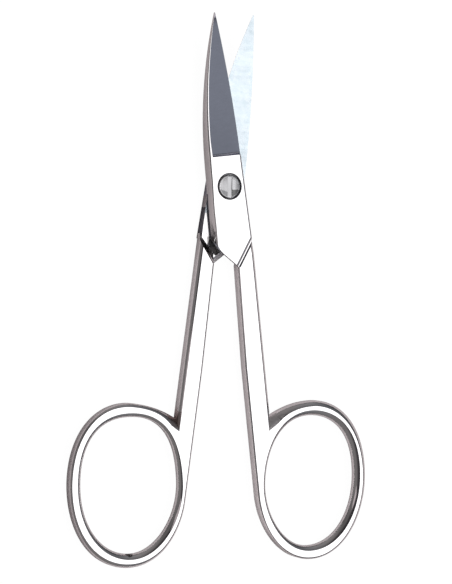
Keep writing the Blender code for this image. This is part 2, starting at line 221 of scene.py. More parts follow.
def makeEdgeWear():
    # brighter worn metal on the rounded edges, broken up by a fine noise
    tree, give, take = newGroup(
        "edgeWear",
        [("Vector", "NodeSocketVector"), ("Size", "NodeSocketFloat")],
        [("Wear", "NodeSocketFloat")],
    )
    shape = addNode(tree, "ShaderNodeNewGeometry")
    breakUp = addNode(tree, "ShaderNodeTexNoise", Detail=3.0)
    tree.links.new(give.outputs["Vector"], breakUp.inputs["Vector"])
    tree.links.new(give.outputs["Size"], breakUp.inputs["Scale"])
    edge = ranged(tree, shape.outputs["Pointiness"], 0, 1, 0.52, 0.60)
    both = addNode(tree, "ShaderNodeMath", operation="MULTIPLY")
    tree.links.new(edge, both.inputs[0])
    tree.links.new(ranged(tree, breakUp.outputs["Fac"], 0, 1, 0.35, 0.6), both.inputs[1])
    tree.links.new(both.outputs[0], take.inputs["Wear"])
    return tree


def makeGrimeAndShade():
    # dark patches on the slopes round a place, never on a level face
    tree, give, take = newGroup(
        "grimeAndShadeGroup",
        [("Vector", "NodeSocketVector"), ("Place", "NodeSocketVector"), ("Reach", "NodeSocketFloat")],
        [("GrimeAndShade", "NodeSocketFloat")],
    )
    far = addNode(tree, "ShaderNodeVectorMath", operation="DISTANCE")
    tree.links.new(give.outputs["Vector"], far.inputs[0])
    tree.links.new(give.outputs["Place"], far.inputs[1])
    share = addNode(tree, "ShaderNodeMath", operation="DIVIDE")
    tree.links.new(far.outputs["Value"], share.inputs[0])
    tree.links.new(give.outputs["Reach"], share.inputs[1])
    patch = addNode(tree, "ShaderNodeTexNoise", Scale=1500.0, Detail=4.0, Roughness=0.6)
    tree.links.new(give.outputs["Vector"], patch.inputs["Vector"])
    ragged = addNode(tree, "ShaderNodeMath", operation="ADD")
    tree.links.new(share.outputs[0], ragged.inputs[0])
    tree.links.new(ranged(tree, patch.outputs["Fac"], -0.35, 0.35, 0.3, 0.7), ragged.inputs[1])
    shape = addNode(tree, "ShaderNodeNewGeometry")
    split = addNode(tree, "ShaderNodeSeparateXYZ")
    tree.links.new(shape.outputs["Normal"], split.inputs[0])
    both = addNode(tree, "ShaderNodeMath", operation="MULTIPLY")
    tree.links.new(ranged(tree, ragged.outputs[0], 1, 0, 0.75, 1.0), both.inputs[0])
    tree.links.new(ranged(tree, split.outputs["Z"], 1, 0, 0.97, 0.99), both.inputs[1])
    tree.links.new(both.outputs[0], take.inputs["GrimeAndShade"])
    return tree


grindLines = makeGrindLines()
handlingHaze = makeHandlingHaze()
edgeWear = makeEdgeWear()
grimeAndShadeGroup = makeGrimeAndShade()
wearFineness = 6         # breaks in the wear for each smudge
toothDepth = 0.02 * mm   # of the grinding marks


def steelFinish(name, look, turn, patches=()):
    # one steel surface: tone and gloss by haze and streaks, tooth by the grinding marks, then any grime and
    # painted shade
    material = bpy.data.materials.new(name)
    material.use_nodes = True
    tree = material.node_tree
    shader = tree.nodes["Principled BSDF"]
    shader.inputs["Metallic"].default_value = 1.0
    place = addNode(tree, "ShaderNodeTexCoord")
    along = addNode(tree, "ShaderNodeMapping")
    along.inputs["Rotation"].default_value = (0, 0, -radians(turn + look["lineAngle"]))
    tree.links.new(place.outputs["Object"], along.inputs["Vector"])
    lines = addGroup(tree, grindLines, Density=look["lineDensity"])
    haze = addGroup(tree, handlingHaze, Size=look["hazeSize"])
    wear = addGroup(tree, edgeWear, Size=look["hazeSize"] * wearFineness)
    for group in (lines, haze, wear):
        tree.links.new(along.outputs["Vector"], group.inputs["Vector"])
    shade = addNode(tree, "ShaderNodeMath", operation="MULTIPLY_ADD")
    shade.inputs[1].default_value = look["streakShare"]
    tree.links.new(lines.outputs["Streaks"], shade.inputs[0])
    tree.links.new(ranged(tree, haze.outputs["Haze"], 0, 1 - look["streakShare"]), shade.inputs[2])
    spotted = addNode(tree, "ShaderNodeMath", operation="MULTIPLY_ADD", use_clamp=True)
    spotted.inputs[1].default_value = look["spotShare"]
    tree.links.new(haze.outputs["Spots"], spotted.inputs[0])
    tree.links.new(shade.outputs[0], spotted.inputs[2])
    tone = toned(tree, spotted.outputs[0], look["bright"], look["dull"])
    tone = coated(tree, wear.outputs["Wear"], tone, look["worn"])
    rough = ranged(tree, spotted.outputs[0], *look["roughness"])
    # each patch darkens its slopes: real grime at the notches, painted shade on the front lap's wall
    for spot, reach, dirtAndShadeTone, dulling in patches:
        grimeAndShade = addGroup(tree, grimeAndShadeGroup, Place=spot, Reach=reach)
        tree.links.new(place.outputs["Object"], grimeAndShade.inputs["Vector"])
        tone = coated(tree, grimeAndShade.outputs["GrimeAndShade"], tone, dirtAndShadeTone)
        duller = addNode(tree, "ShaderNodeMath", operation="MULTIPLY_ADD")
        tree.links.new(grimeAndShade.outputs["GrimeAndShade"], duller.inputs[0])
        duller.inputs[1].default_value = dulling
        tree.links.new(rough, duller.inputs[2])
        rough = duller.outputs[0]
    tree.links.new(tone, shader.inputs["Base Color"])
    tree.links.new(rough, shader.inputs["Roughness"])
    bump = addNode(tree, "ShaderNodeBump", Strength=look["tooth"], Distance=toothDepth)
    tree.links.new(lines.outputs["Lines"], bump.inputs["Height"])
    tree.links.new(bump.outputs["Normal"], shader.inputs["Normal"])
    return material


polish = {              # buffed outer faces, walls and rings
    "bright": (0.82, 0.81, 0.81), "dull": (0.74, 0.72, 0.73), "worn": (0.90, 0.89, 0.89),
    "roughness": (0.05, 0.12), "lineAngle": 0, "lineDensity": (9000, 500, 9000),
    "hazeSize": 260, "streakShare": 0.35, "spotShare": 0.2, "tooth": 0.05,
}
bevelGrind = {          # the ground bevels of the blades
    "bright": (0.82, 0.85, 0.98), "dull": (0.74, 0.765, 0.88), "worn": (0.85, 0.86, 0.88),
    "roughness": (0.10, 0.18), "lineAngle": 8, "lineDensity": (900, 14000, 14000),
    "hazeSize": 200, "streakShare": 0.35, "spotShare": 0.15, "tooth": 0.08,
}
satinFlat = {           # the inner faces that slide on each other
    "bright": (0.53, 0.595, 0.635), "dull": (0.46, 0.53, 0.575), "worn": (0.60, 0.64, 0.68),
    "roughness": (0.20, 0.30), "lineAngle": 4, "lineDensity": (900, 11000, 11000),
    "hazeSize": 180, "streakShare": 0.3, "spotShare": 0.6, "tooth": 0.08,
}
filed = {               # the back half's chamfer under its free edge
    "bright": (0.80, 0.85, 0.88), "dull": (0.70, 0.74, 0.77), "worn": (0.9, 0.9, 0.9),
    "roughness": (0.35, 0.50), "lineAngle": 44, "lineDensity": (900, 9000, 9000),
    "hazeSize": 300, "streakShare": 0.4, "spotShare": 0.3, "tooth": 0.15,
}
paintedShadeChamfer = {**filed, "bright": (0.08, 0.08, 0.08), "dull": (0.05, 0.05, 0.05)}       # the front half's, near black: painted shade of the hollow under its free edge
paintedShadeLook = {               # painted shade on the lap's edge and the foot of its step, dark navy
    "bright": (0.15, 0.155, 0.19), "dull": (0.07, 0.072, 0.09), "worn": (0.3, 0.3, 0.3),
    "roughness": (0.35, 0.55), "lineAngle": 0, "lineDensity": (3000, 3000, 3000),
    "hazeSize": 900, "streakShare": 0.4, "spotShare": 0.3, "tooth": 0.1,
}
seatPaintedShade = {**paintedShadeLook, "bright": (0.30, 0.30, 0.31), "dull": (0.16, 0.16, 0.17)}       # the screw's seat, painted dark for the shade in the gap round the head
turned = {              # the screw
    "bright": (0.42, 0.42, 0.43), "dull": (0.30, 0.295, 0.30), "worn": (0.50, 0.50, 0.51),
    "roughness": (0.15, 0.24), "lineAngle": 0, "lineDensity": (7000, 900, 7000),
    "hazeSize": 700, "streakShare": 0.7, "spotShare": 0.3, "tooth": 0.10,
}
rimSteel = {            # the worn rim of its head
    **turned, "bright": (0.80, 0.80, 0.81), "dull": (0.66, 0.65, 0.66), "roughness": (0.30, 0.40),
}
grease = {**turned, "bright": (0.125, 0.125, 0.125), "dull": (0.08, 0.08, 0.08)}      # right of its slot
oilFilm = {**turned, "bright": (0.23, 0.23, 0.235), "dull": (0.15, 0.15, 0.155)}      # left of its slot


# lap and blade of one half, flat, the inner face half a lap gap above the middle plane

stock = 2.0              # thickness of the steel
lapGap = 0.06            # between the two inner faces
restOpen = 7.25          # degrees that each half is turned from closed
low = lapGap / 2

# places in each half's list of materials
onPolish, onBevel, onSatin, onChamfer, onPaintedShade, onSeat = range(6)

blade = {
    "length": 28.2, "half": 3.34, "widestY": 1.6, "tipHalf": 0.10, "tipThick": 0.35,
    "edgeThick": 0.05, "rise": 2.35, "riseStart": 6.2, "grindStart": 4.95, "runOut": 0.55,
    "draft": 0.035, "land": 0.15, "landRun": 0.12, "spineRound": 0.115, "taper": 1.05, "footShare": 0.3,
    "rows": 64, "wheelRows": 8, "lapRows": 20, "satinRows": 10, "arcSteps": 8,
}
lap = {
    "right": 2.95, "rightTop": 2.78, "flare": 0.050, "rightRound": 0.46,
    "leftRound": 0.30, "roundFrom": -1.0, "roundRun": 9.0, "draft": 0.085, "draftFrom": -6.0,
    "bulge": 3.62, "bulgeY": -4.5, "lowX": 3.75, "lowY": -14.5,
    # free edge with its round corner, and the chamfer under it
    "freeAngle": 44.0, "freeEdge": 9.42, "corner": 1.95, "cornerY": -8.5, "cornerSteps": 24,
    "freeRound": 0.06, "flareTurn": 84, "flareSteps": 7, "chamferRise": 1.55,
    # hollow shoulder
    "foot": 8.28, "run": 1.15, "innerRun": 1.80, "wideAt": -4.5, "shoulderEnds": (-10.5, 2),
    "cove": 1.8, "coveSteps": 14, "gap": 0.12,
    # step on the outer face: first turn, sweep and count of each round
    "stepAngle": 54.8, "stepTop": 7.14, "stepRounds": (0.62, 0.72), "stepTurns": (6, 80, 9),
    "ledge": 0.06, "ledgeDip": 0.01, "stepLean": 0.12, "leanFrom": 0.4, "shadeTurn": 1,
    # rows of the lap with painted shade, and rows with a dull grind
    "shadeEdgeRows": 11, "dullEdgeRows": (13, 16), "shadeFootRows": 14, "shadeFoot": 0.40,
}


def fillet(before, corner, after, radius, steps):
    # points of a round of that radius between two straight lines, in the plane of the section
    before, corner, after = Vector(before), Vector(corner), Vector(after)
    one, two = (before - corner).normalized(), (after - corner).normalized()
    half = one.angle(two) / 2
    start = corner + one * (radius / tan(half))
    centre = corner + (one + two).normalized() * (radius / sin(half))
    first = start - centre
    turn = (pi - 2 * half) * (1 if first.cross(one) < 0 else -1)
    points = []
    for i in range(steps + 1):
        a = turn * i / steps
        x, y = first.x * cos(a) - first.y * sin(a), first.x * sin(a) + first.y * cos(a)
        points.append(centre + Vector((x, y)))
    return points


def bladeHalf(y):
    reach = (y - blade["widestY"]) / (blade["length"] - blade["widestY"])
    return blendTo(blade["tipHalf"], blade["half"], 1 - reach * abs(reach))


def spineSide(y):
    if y >= blade["widestY"]:
        return bladeHalf(y)
    if y <= lap["bulgeY"]:
        return blendTo(lap["bulge"], lap["lowX"], (y - lap["bulgeY"]) / (lap["lowY"] - lap["bulgeY"]))
    t = (y - lap["bulgeY"]) / (blade["widestY"] - lap["bulgeY"])
    return blendTo(lap["bulge"], blade["half"], t * t * (3 - 2 * t))


def crestSide(y):
    # the spine wall leans in, more on the lap than on the blade
    into = min(1.0, max(0.0, (y - lap["draftFrom"]) / -lap["draftFrom"]))
    return spineSide(y) * (1 - blendTo(lap["draft"], blade["draft"], into))


def spineRadius(y):
    into = min(1.0, max(0.0, (y - lap["roundFrom"]) / lap["roundRun"]))
    return blendTo(lap["leftRound"], blade["spineRound"] * spineSide(y), into)


def landEdge(y):
    # where the land along the spine ends; it runs out before the tip
    along = max(0.0, (y - blade["grindStart"]) / (blade["length"] - blade["grindStart"]))
    land = blade["land"] * max(0.0, 1 - along / blade["landRun"])
    return land + spineRadius(y) - crestSide(y)


def section(y, top, rightCorner):
    # inner face from spine to edge, the right corner, then the land and the rounded spine
    left = spineSide(y)
    landEnd = (landEdge(y), top)
    spine = fillet(landEnd, (-crestSide(y), top), (-left, low), spineRadius(y), blade["arcSteps"])
    # the last strip, at the spine's foot, takes the painted shade
    foot = Vector((-left, low))
    foot += (spine[-1] - foot).normalized() * min(lap["shadeFoot"], (spine[-1] - foot).length / 2)
    points = [(-left, low), (0, low)] + rightCorner + [landEnd] + [tuple(point) for point in spine + [foot]]
    return [(x, y, z) for x, z in points]


def lapCorner(y):
    right = lap["right"]
    top = lap["rightTop"] - lap["flare"] * y
    arc = fillet((right, low), (top, stock), (0, stock), lap["rightRound"], blade["arcSteps"])
    return [(right, low)] + [tuple(point) for point in arc]


def edgeCorner(y, top):
    # the cutting edge: the same number of points, drawn along the foot of the bevel
    half = bladeHalf(y)
    edge = Vector((half, low + blade["edgeThick"]))
    land = Vector((landEdge(y), top))
    steps = blade["arcSteps"]
    share = blade["footShare"]
    return [(half, low)] + [tuple(edge + (land - edge) * (share * i / steps)) for i in range(steps + 1)]


def spineTop(y):
    along = max(0.0, (y - blade["grindStart"]) / (blade["length"] - blade["grindStart"]))
    return blendTo(stock, blade["tipThick"], along ** blade["taper"])


def bladeSections():
    start, end = blade["grindStart"], blade["grindStart"] + blade["runOut"]
    stations = [blendTo(lap["lowY"], start, i / blade["lapRows"]) for i in range(blade["lapRows"] + 1)]
    sections = [section(y, stock, lapCorner(y)) for y in stations]
    # the wheel's round mark where the bevel starts
    before, after = lapCorner(start), edgeCorner(end, spineTop(end))
    for i in range(1, blade["wheelRows"]):
        t = i / blade["wheelRows"]
        y = blendTo(start, end, t)
        drop = sqrt(1 - (1 - t) ** 2)
        corner = [(blendTo(p[0], q[0], drop), blendTo(p[1], q[1], drop)) for p, q in zip(before, after)]
        sections.append(section(y, spineTop(y), corner))
    for i in range(blade["rows"] + 1):
        y = blendTo(end, blade["length"], i / blade["rows"])
        sections.append(section(y, spineTop(y), edgeCorner(y, spineTop(y))))
    return sections


def faceFinish(row, i):
    # strips count round the section: inner face, edge, corner or bevel, land, spine and its foot
    lapEnd, arc = blade["lapRows"], blade["arcSteps"]
    inner, edge, foot = i < 2, i == 2, i == 6 + 2 * arc
    # painted shade on the lap's edge wall and on the spine's foot
    if (edge and row < lap["shadeEdgeRows"]) or (foot and row < lap["shadeFootRows"]):
        return onPaintedShade
    if edge and row in range(*lap["dullEdgeRows"]):
        return onBevel
    if inner:
        return onSatin if row >= lapEnd - blade["satinRows"] else onPolish
    if 3 <= i <= 3 + arc and row >= lapEnd:
        return onBevel
    return onPolish


def freeEdgeCutter(materials):
    # everything beyond the free edge and its big round corner, flared at the top to break the edge
    nx, ny = unit(lap["freeAngle"] - 90)
    out, down = Vector((-nx, ny)), Vector((-ny, -nx))
    side = -spineSide(lap["cornerY"])
    corner = out * lap["freeEdge"] + down * ((side + nx * lap["freeEdge"]) / down.x)
    first, last = corner + Vector((0, lap["corner"])), corner + down * lap["corner"]
    radius = lap["corner"] * tan(Vector((0, 1)).angle(down) / 2)
    arc = fillet(first, corner, last, radius, lap["cornerSteps"])
    # up along the spine side, and with the far points well clear of the lap
    path = [arc[0] + Vector((-0.4, 4))] + arc + [arc[-1] + down * 4, arc[-1] + down * 16]
    normals = [Vector((1, 0.1)).normalized()]
    for before, after in zip(path, path[2:]):
        step = (after - before).normalized()
        normals.append(Vector((-step.y, step.x)))
    normals.append(-out)
    far = [path[-1] + Vector((-8, -12)), path[0] + Vector((-14, -14)), path[0] + Vector((-8, 0))]
    layers = [(0, -stock), (0, stock - lap["freeRound"])]
    turn = radians(lap["flareTurn"])
    for i in range(1, lap["flareSteps"] + 1):
        a = turn * i / lap["flareSteps"]
        layers.append((lap["freeRound"] * (1 - cos(a)), stock - lap["freeRound"] * (1 - sin(a))))
    layers.append((layers[-1][0] + 1.0, layers[-1][1] + 1.0 / tan(turn)))
    loops = []
    for inset, z in layers:
        loop = [(*(p + n * inset), z) for p, n in zip(path, normals)]
        loops.append(loop + [(*p, z) for p in far])
    # painted shade on the free edge's wall, the cutter's lowest row
    return toObject(skin(loops, lambda row, i: onPaintedShade if row == 0 else onPolish), "freeEdge", materials)


def stepCutter(materials):
    # the step from the lap down to the shank, with a narrow ledge, as a prism along the step
    first, sweep, count = lap["stepTurns"]
    turns = [radians(first + sweep * i / count) for i in range(count + 1)]
    u, z = lap["stepTop"], stock
    profile = []
    for r in lap["stepRounds"]:
        profile += [(u + r * sin(a), z - r * (1 - cos(a))) for a in turns]
        u, z = u + r + lap["ledge"], z - r
        dip = z - lap["ledgeDip"]
        profile += [(u - lap["ledge"], dip), (u, dip)]
    above = (profile[0][0] - 1.0, profile[0][1] + tan(turns[0]))
    lean = u + lap["stepLean"]
    away, wide = u + 20, 12            # well clear of the lap
    profile = [above] + profile[:-2] + [(lean, lap["leanFrom"]), (lean, -stock)]
    profile += [(away, -stock), (away, stock * 2), (above[0], stock * 2)]
    shadeFrom = len(turns) + 3 + lap["shadeTurn"]      # painted shade on the lower round, in the step's foot
    sx, sy = unit(lap["stepAngle"] - 90)
    loops = [[(sx * p - sy * s, sy * p + sx * s, q) for p, q in profile] for s in (-wide, wide)]
    return toObject(skin(loops, lambda row, i: onPaintedShade if i >= shadeFrom else onPolish), "step", materials)


def lapAndBlade(materials):
    plate = toObject(skin(bladeSections(), faceFinish), "lap", materials)
    plate = combine(plate, freeEdgeCutter(materials), "DIFFERENCE")
    plate = combine(plate, stepCutter(materials), "DIFFERENCE")
    # the chamfer under the free edge seats against the other half's shoulder
    nx, ny = unit(lap["freeAngle"] - 90)
    foot = lap["foot"] - lap["gap"]
    lean = Vector((-nx * lap["chamferRise"], ny * lap["chamferRise"], foot - lap["freeEdge"]))
    bm = bmesh.new()
    bm.from_mesh(plate.data)
    sliceOff(bm, Vector((-nx * foot, ny * foot, low)), lean, onChamfer)
    bm.to_mesh(plate.data)
    bm.free()
    return plate


# shank and ring of one half, flat, centred on the middle plane

handle = {
    "innerFrom": -30.0, "outerTop": 3.42, "outerFrom": -11.5, "startY": -5.0,
    "tilt": 10.0, "ringY": -50.13, "ringSteps": 200,
    "notchTurn": 0.83, "notchSteps": 16, "notchStraight": 0.8, "cornerTurn": 0.3,
    "roundSteps": 9, "roundTurn": 45, "steep": 1.15, "holeHeight": 1.08, "notchHeight": 1.5,
    "under": 0.22, "holeUnder": 0.78,
    # where the rounds are given: shank's inner side, bend, below twice, far side, above, notch
    "roundAt": (0.0, 0.12, 0.28, 0.54, 0.78, 0.93, 1.0),
}
# ring and hole are ellipses, filled out a little between their axes: below near and far, above near and far
# the hole's rounds: near, far, more below, an extra and the angle that it lies at
frontEdges = {
    "inner": (0.06, 0.75), "outer": 3.88, "notchRise": 2.35,
    "rounds": (0.24, 0.15, 0.36, 0.74, 1.10, 0.92, 1.80), "shank": 0.70,
    "ring": (10.30, 13.24), "ringFull": ((-0.012, 0.010), (-0.020, 0.026)),
    "hole": (8.37, 10.87), "holeAt": (10.12, -50.20), "holeFull": ((-0.022, 0.012), (0.027, 0.037)),
    "holeRounds": (0.56, 0.94, 0.14, 0.22, 100),
}
backEdges = {
    "inner": (0.06, 0.62), "outer": 3.42, "notchRise": 2.80,
    "rounds": (0.44, 0.58, 0.70, 0.33, 0.37, 0.60, 1.80), "shank": 0.52,
    "ring": (10.19, 13.24), "ringFull": ((0.009, 0.014), (0.0, 0.017)),
    "hole": (8.47, 11.00), "holeAt": (10.12, -50.09), "holeFull": ((-0.014, 0.008), (0.066, 0.044)),
    "holeRounds": (0.74, 0.70, 0.16, -0.20, 135),
}


def ellipsePoint(centre, axes, angle, full):
    ct, st = unit(-handle["tilt"])
    more = 1 + full[sin(angle) > 0][cos(angle) > 0] * sin(2 * angle) ** 2
    x, y = axes[0] * cos(angle) * more, axes[1] * sin(angle) * more
    return Vector((centre[0] + x * ct - y * st, centre[1] + x * st + y * ct))


def handleOutline(edges):
    inner, innerTop = edges["inner"]
    outer = edges["outer"]
    a, b = edges["ring"]
    ct, st = unit(-handle["tilt"])
    reach = hypot(a * ct, b * st)
    centre = (inner + reach, handle["ringY"])
    leftmost = atan2(-b * st, a * ct) + pi
    notch = leftmost + 2 * pi - acos((centre[0] - outer) / reach)
    stop = notch - handle["notchTurn"]
    steps = handle["ringSteps"]
    points = [Vector((innerTop, handle["startY"])), Vector((inner, handle["innerFrom"]))]
    points += [
        ellipsePoint(centre, (a, b), blendTo(leftmost, stop, i / steps), edges["ringFull"])
        for i in range(steps + 1)
    ]
    # the ring fills out toward the notch, which is a plain sharp corner
    start = points[-1]
    heading = (start - points[-2]).normalized()
    onRing = ellipsePoint(centre, (a, b), notch, edges["ringFull"])
    tip = Vector((outer, onRing.y + edges["notchRise"]))
    middle = start + heading * (tip - start).length * 0.5
    for i in range(1, handle["notchSteps"] + 1):
        t = i / handle["notchSteps"]
        points.append(start * (1 - t) ** 2 + middle * 2 * t * (1 - t) + tip * t * t)
    points += [tip + Vector((0, handle["notchStraight"])), Vector((outer, handle["outerFrom"]))]
    return points + [Vector((handle["outerTop"], handle["startY"]))]


def holeOutline(edges):
    steps = handle["ringSteps"]
    return [
        ellipsePoint(edges["holeAt"], edges["hole"], -2 * pi * i / steps, edges["holeFull"])
        for i in range(steps)
    ]


def edgeRounds(count, rounds, shank):
    # the reach of the round at each point of the outline, from the table for that half
    places = handle["roundAt"]
    before, after = 2, 3               # points of the shank's inner and outer side
    reach = []
    for i in range(count):
        t = min(1.0, max(0.0, (i - before) / (count - before - after - 1)))
        k = max(n for n in range(len(places) - 1) if places[n] <= t)
        part = (t - places[k]) / (places[k + 1] - places[k])
        ease = part ** 3 if k == len(places) - 2 else part * part * (3 - 2 * part)
        reach.append(blendTo(rounds[k], rounds[k + 1], ease))
    return reach[:-after] + [shank] * after


def insets(points, reach):
    # the way from each edge point to the flat; a corner keeps its distance to both sides
    moves = []
    for i, point in enumerate(points):
        follow = (i + 1) % len(points)
        one = (point - points[i - 1]).orthogonal().normalized()
        two = (points[follow] - point).orthogonal().normalized()
        turn = one.cross(two)
        if abs(turn) < handle["cornerTurn"]:
            lean = (one + two).normalized()
            moves.append(lean * (reach[i] / lean.dot(one)))
        else:
            a, b = reach[i], reach[follow]
            moves.append(Vector((a * two.y - b * one.y, b * one.x - a * two.x)) / turn)
    return moves


def holeRounds(count, near, far, below, extra, extraAt):
    # the reach of the round at each point of the finger hole
    reach = []
    for i in range(count):
        a = 2 * pi * i / count
        around = blendTo(near, far, ((1 + cos(a)) / 2) ** 1.5) + below * max(0.0, sin(a)) ** 2
        reach.append(around + extra * max(0.0, cos(a + radians(extraAt))) ** 4)
    return reach


def shankAndRing(materials, edges, flipped):
    # stacked loops of the outline and of the hole, closed by flat faces
    bm = bmesh.new()
    bottoms, tops = [], []
    outline, hole = handleOutline(edges), holeOutline(edges)
    # the side that faces up in use is the buffed one; the other has a small even round
    edgeSides = [[handle["under"]] * len(outline), edgeRounds(len(outline), edges["rounds"], edges["shank"])]
    holeSides = [[handle["holeUnder"]] * len(hole), holeRounds(len(hole), *edges["holeRounds"])]
    if flipped:
        edgeSides.reverse()
        holeSides.reverse()
    last = radians(handle["roundTurn"])
    turns = [last * i / handle["roundSteps"] for i in range(handle["roundSteps"] + 1)]
    for points, (below, above), most in (
        (outline, edgeSides, handle["notchHeight"]), (hole, holeSides, handle["holeHeight"]),
    ):
        rings = []
        for side, reach, order in ((-1, below, turns[::-1]), (1, above, turns)):
            moves = insets(points, reach)
            for a in order:
                way, drop = (1 - cos(a)) / (1 - cos(last)), 1 - sin(a) / sin(last)
                ring = []
                for p, move, r in zip(points, moves, reach):
                    z = side * (stock / 2 - min(r * handle["steep"], most) * drop)
                    ring.append(bm.verts.new((*(p + move * way), z)))
                rings.append(ring)
        for lower, upper in zip(rings, rings[1:]):
            for i in range(len(points)):
                bm.faces.new((lower[i - 1], lower[i], upper[i], upper[i - 1]))
        bottoms.append(rings[0])
        tops.append(rings[-1])
    for rims in (bottoms, tops):
        flat = [vert for rim in rims for vert in rim]
        for triangle in tessellate_polygon([[vert.co for vert in rim] for rim in rims]):
            bm.faces.new([flat[i] for i in triangle])
    bmesh.ops.recalc_face_normals(bm, faces=bm.faces)
    return toObject(bm, "shank", materials)


def shoulderProfile(run):
    # across the shoulder, from above the foot down the cove to the crest
    foot = Vector((lap["foot"], low))
    crest = Vector((lap["foot"] + run, -stock / 2))
    chord = crest - foot
    away = Vector((chord.y, -chord.x)).normalized()
    centre = (foot + crest) / 2 + away * sqrt(lap["cove"] ** 2 - (chord.length / 2) ** 2)
    first = asin((foot.y - centre.y) / lap["cove"])
    last = asin((crest.y - centre.y) / lap["cove"])
    steps = lap["coveSteps"]
    arc = [blendTo(first, last, i / steps) for i in range(steps + 1)]
    profile = [(-stock, -stock), (-stock, stock), (lap["foot"], stock), (foot.x, foot.y + lapGap)]
    profile += [(centre.x + lap["cove"] * cos(a), centre.y + lap["cove"] * sin(a)) for a in arc[1:]]
    return profile + [(crest.x + stock / 2, -stock)]


def shoulderCutter(materials):
    # what lies on the screw's side of the hollow shoulder, which widens toward the inner side
    nx, ny = unit(lap["freeAngle"] - 90)
    start, end = lap["shoulderEnds"]
    loops = []
    for s, run in ((start, lap["innerRun"]), (lap["wideAt"], lap["run"]), (end, lap["run"])):
        loops.append([(nx * u - ny * s, ny * u + nx * s, z) for u, z in shoulderProfile(run)])
    return toObject(skin(loops), "shoulder", materials)


# whole halves and the screw

cleanUp = {"merge": 0.0003, "sliver": 0.0002, "level": 0.99999, "levelAngle": 6.5, "smoothAngle": 24}


def halfBody(materials, edges, flipped):
    shank = shankAndRing(materials, edges, flipped)
    shank = combine(shank, shoulderCutter(materials), "DIFFERENCE")
    return combine(lapAndBlade(materials), shank, "UNION")


def finishPiece(item, name, place, turn):
    # clean, bend the blade up, turn about the screw, lift onto the floor, scale and smooth
    mesh = item.data
    mesh.transform(place)
    bm = bmesh.new()
    bm.from_mesh(mesh)
    bmesh.ops.remove_doubles(bm, verts=bm.verts, dist=cleanUp["merge"])
    bmesh.ops.dissolve_degenerate(bm, edges=bm.edges, dist=cleanUp["sliver"])
    for vert in bm.verts:
        reach = hypot(vert.co.x, vert.co.y)
        if vert.co.y > 0 and reach > blade["riseStart"]:
            along = (reach - blade["riseStart"]) / (blade["length"] - blade["riseStart"])
            vert.co.z += blade["rise"] * along * along
    bmesh.ops.recalc_face_normals(bm, faces=bm.faces)
    for face in bm.faces:
        face.smooth = True
    # sharp where the finish changes, at a clear angle, or at a slight one beside a level face
    for edge in bm.edges:
        faces = edge.link_faces
        level = any(abs(face.normal.z) > cleanUp["level"] for face in faces)
        limit = radians(cleanUp["levelAngle" if level else "smoothAngle"])
        finishes = {face.material_index for face in faces}
        edge.smooth = len(faces) == 2 and len(finishes) == 1 and edge.calc_face_angle(0) <= limit
    bm.to_mesh(mesh)
    bm.free()
    lift = Matrix.Translation((0, 0, stock))
    mesh.transform(Matrix.Scale(mm, 4) @ lift @ Matrix.Rotation(radians(turn), 4, "Z"))
    item.name = name
    mesh.name = name
    weigh = item.modifiers.new("weigh", "WEIGHTED_NORMAL")
    weigh.keep_sharp = True
    item = applied(item)
    item.name = name
    print(name, "built,", len(item.data.polygons), "faces")
    return item


# old grime and painted shade: offset from the place that it is named for, reach, tone, and how much it dulls
# the steel
frontGrimeAndShade = {
    "notch": ((0.45, -1.5), 2.60, (0.72, 0.70, 0.70), 0.30),
    # painted shade: the front lap's wall by its free corner, placed from the screw
    "screw": ((-3.4, -8.95), 1.85, (0.12, 0.115, 0.115), 0.05),
}
backGrime = {
    "notch": ((0.0, -0.2), 2.0, (0.48, 0.41, 0.40), 0.18),
    "hole": ((-0.9, -0.3), 0.75, (0.12, 0.115, 0.115), 0.05),
}


def placed(point, side):
    # a point of the flat drawing where it lies at rest, side 1 for the front half
    flat = Vector((point.x * side, point.y, stock))
    return Matrix.Rotation(radians(restOpen * side), 3, "Z") @ flat * mm


def grimeAndShadeSpots(edges, grimeAndShade, side):
    places = {
        "notch": handleOutline(edges)[-4],      # three points of the outer side come after it
        "hole": min(holeOutline(edges), key=lambda point: point.y),
        "screw": Vector((0, 0)),
    }
    return [
        (placed(places[name] + Vector(offset), side), reach * mm, dirtAndShadeTone, dulling)
        for name, (offset, reach, dirtAndShadeTone, dulling) in grimeAndShade.items()
    ]


def halfFinishes(half, turn, chamfer, patches):
    return [
        steelFinish(half + "Polish", polish, turn, patches),
        steelFinish(half + "BevelGrind", bevelGrind, turn),
        steelFinish(half + "SatinFlat", satinFlat, turn),
        steelFinish(half + "Filed", chamfer, turn),
        # the painted shade of the lap's edge wall and of the feet of spine and step
        steelFinish(half + "PaintedShade", paintedShadeLook, turn),
    ]


screw = {
    "head": 1.98, "raise": 0.02, "dome": 0.10, "sink": 0.60, "round": 0.30,
    "seatAt": (-0.13, 0.0), "headAt": (-0.13, -0.07),
    "slotWidth": 0.77, "slotDepth": 0.12, "slotReach": 1.58, "bearing": 1.4, "thread": 1.1,
    "runFit": 0.03, "threadFit": 0.02, "headFit": 0.18, "seatFit": 0.06, "slack": 0.01,
    # the broken rim of the seat, out and up in shares of the break
    "rimBreak": 0.06, "rimSteps": ((0.35, -0.35), (1.5, 0.5)),
    # where grease lies on the head, either side of the slot
    "greaseAside": 0.3, "greaseTop": -0.45, "greaseEnd": -1.66, "greaseFall": 0.31, "greaseFrom": 1.7,
    "steps": 128, "roundSteps": 8, "domeSteps": 12,
}


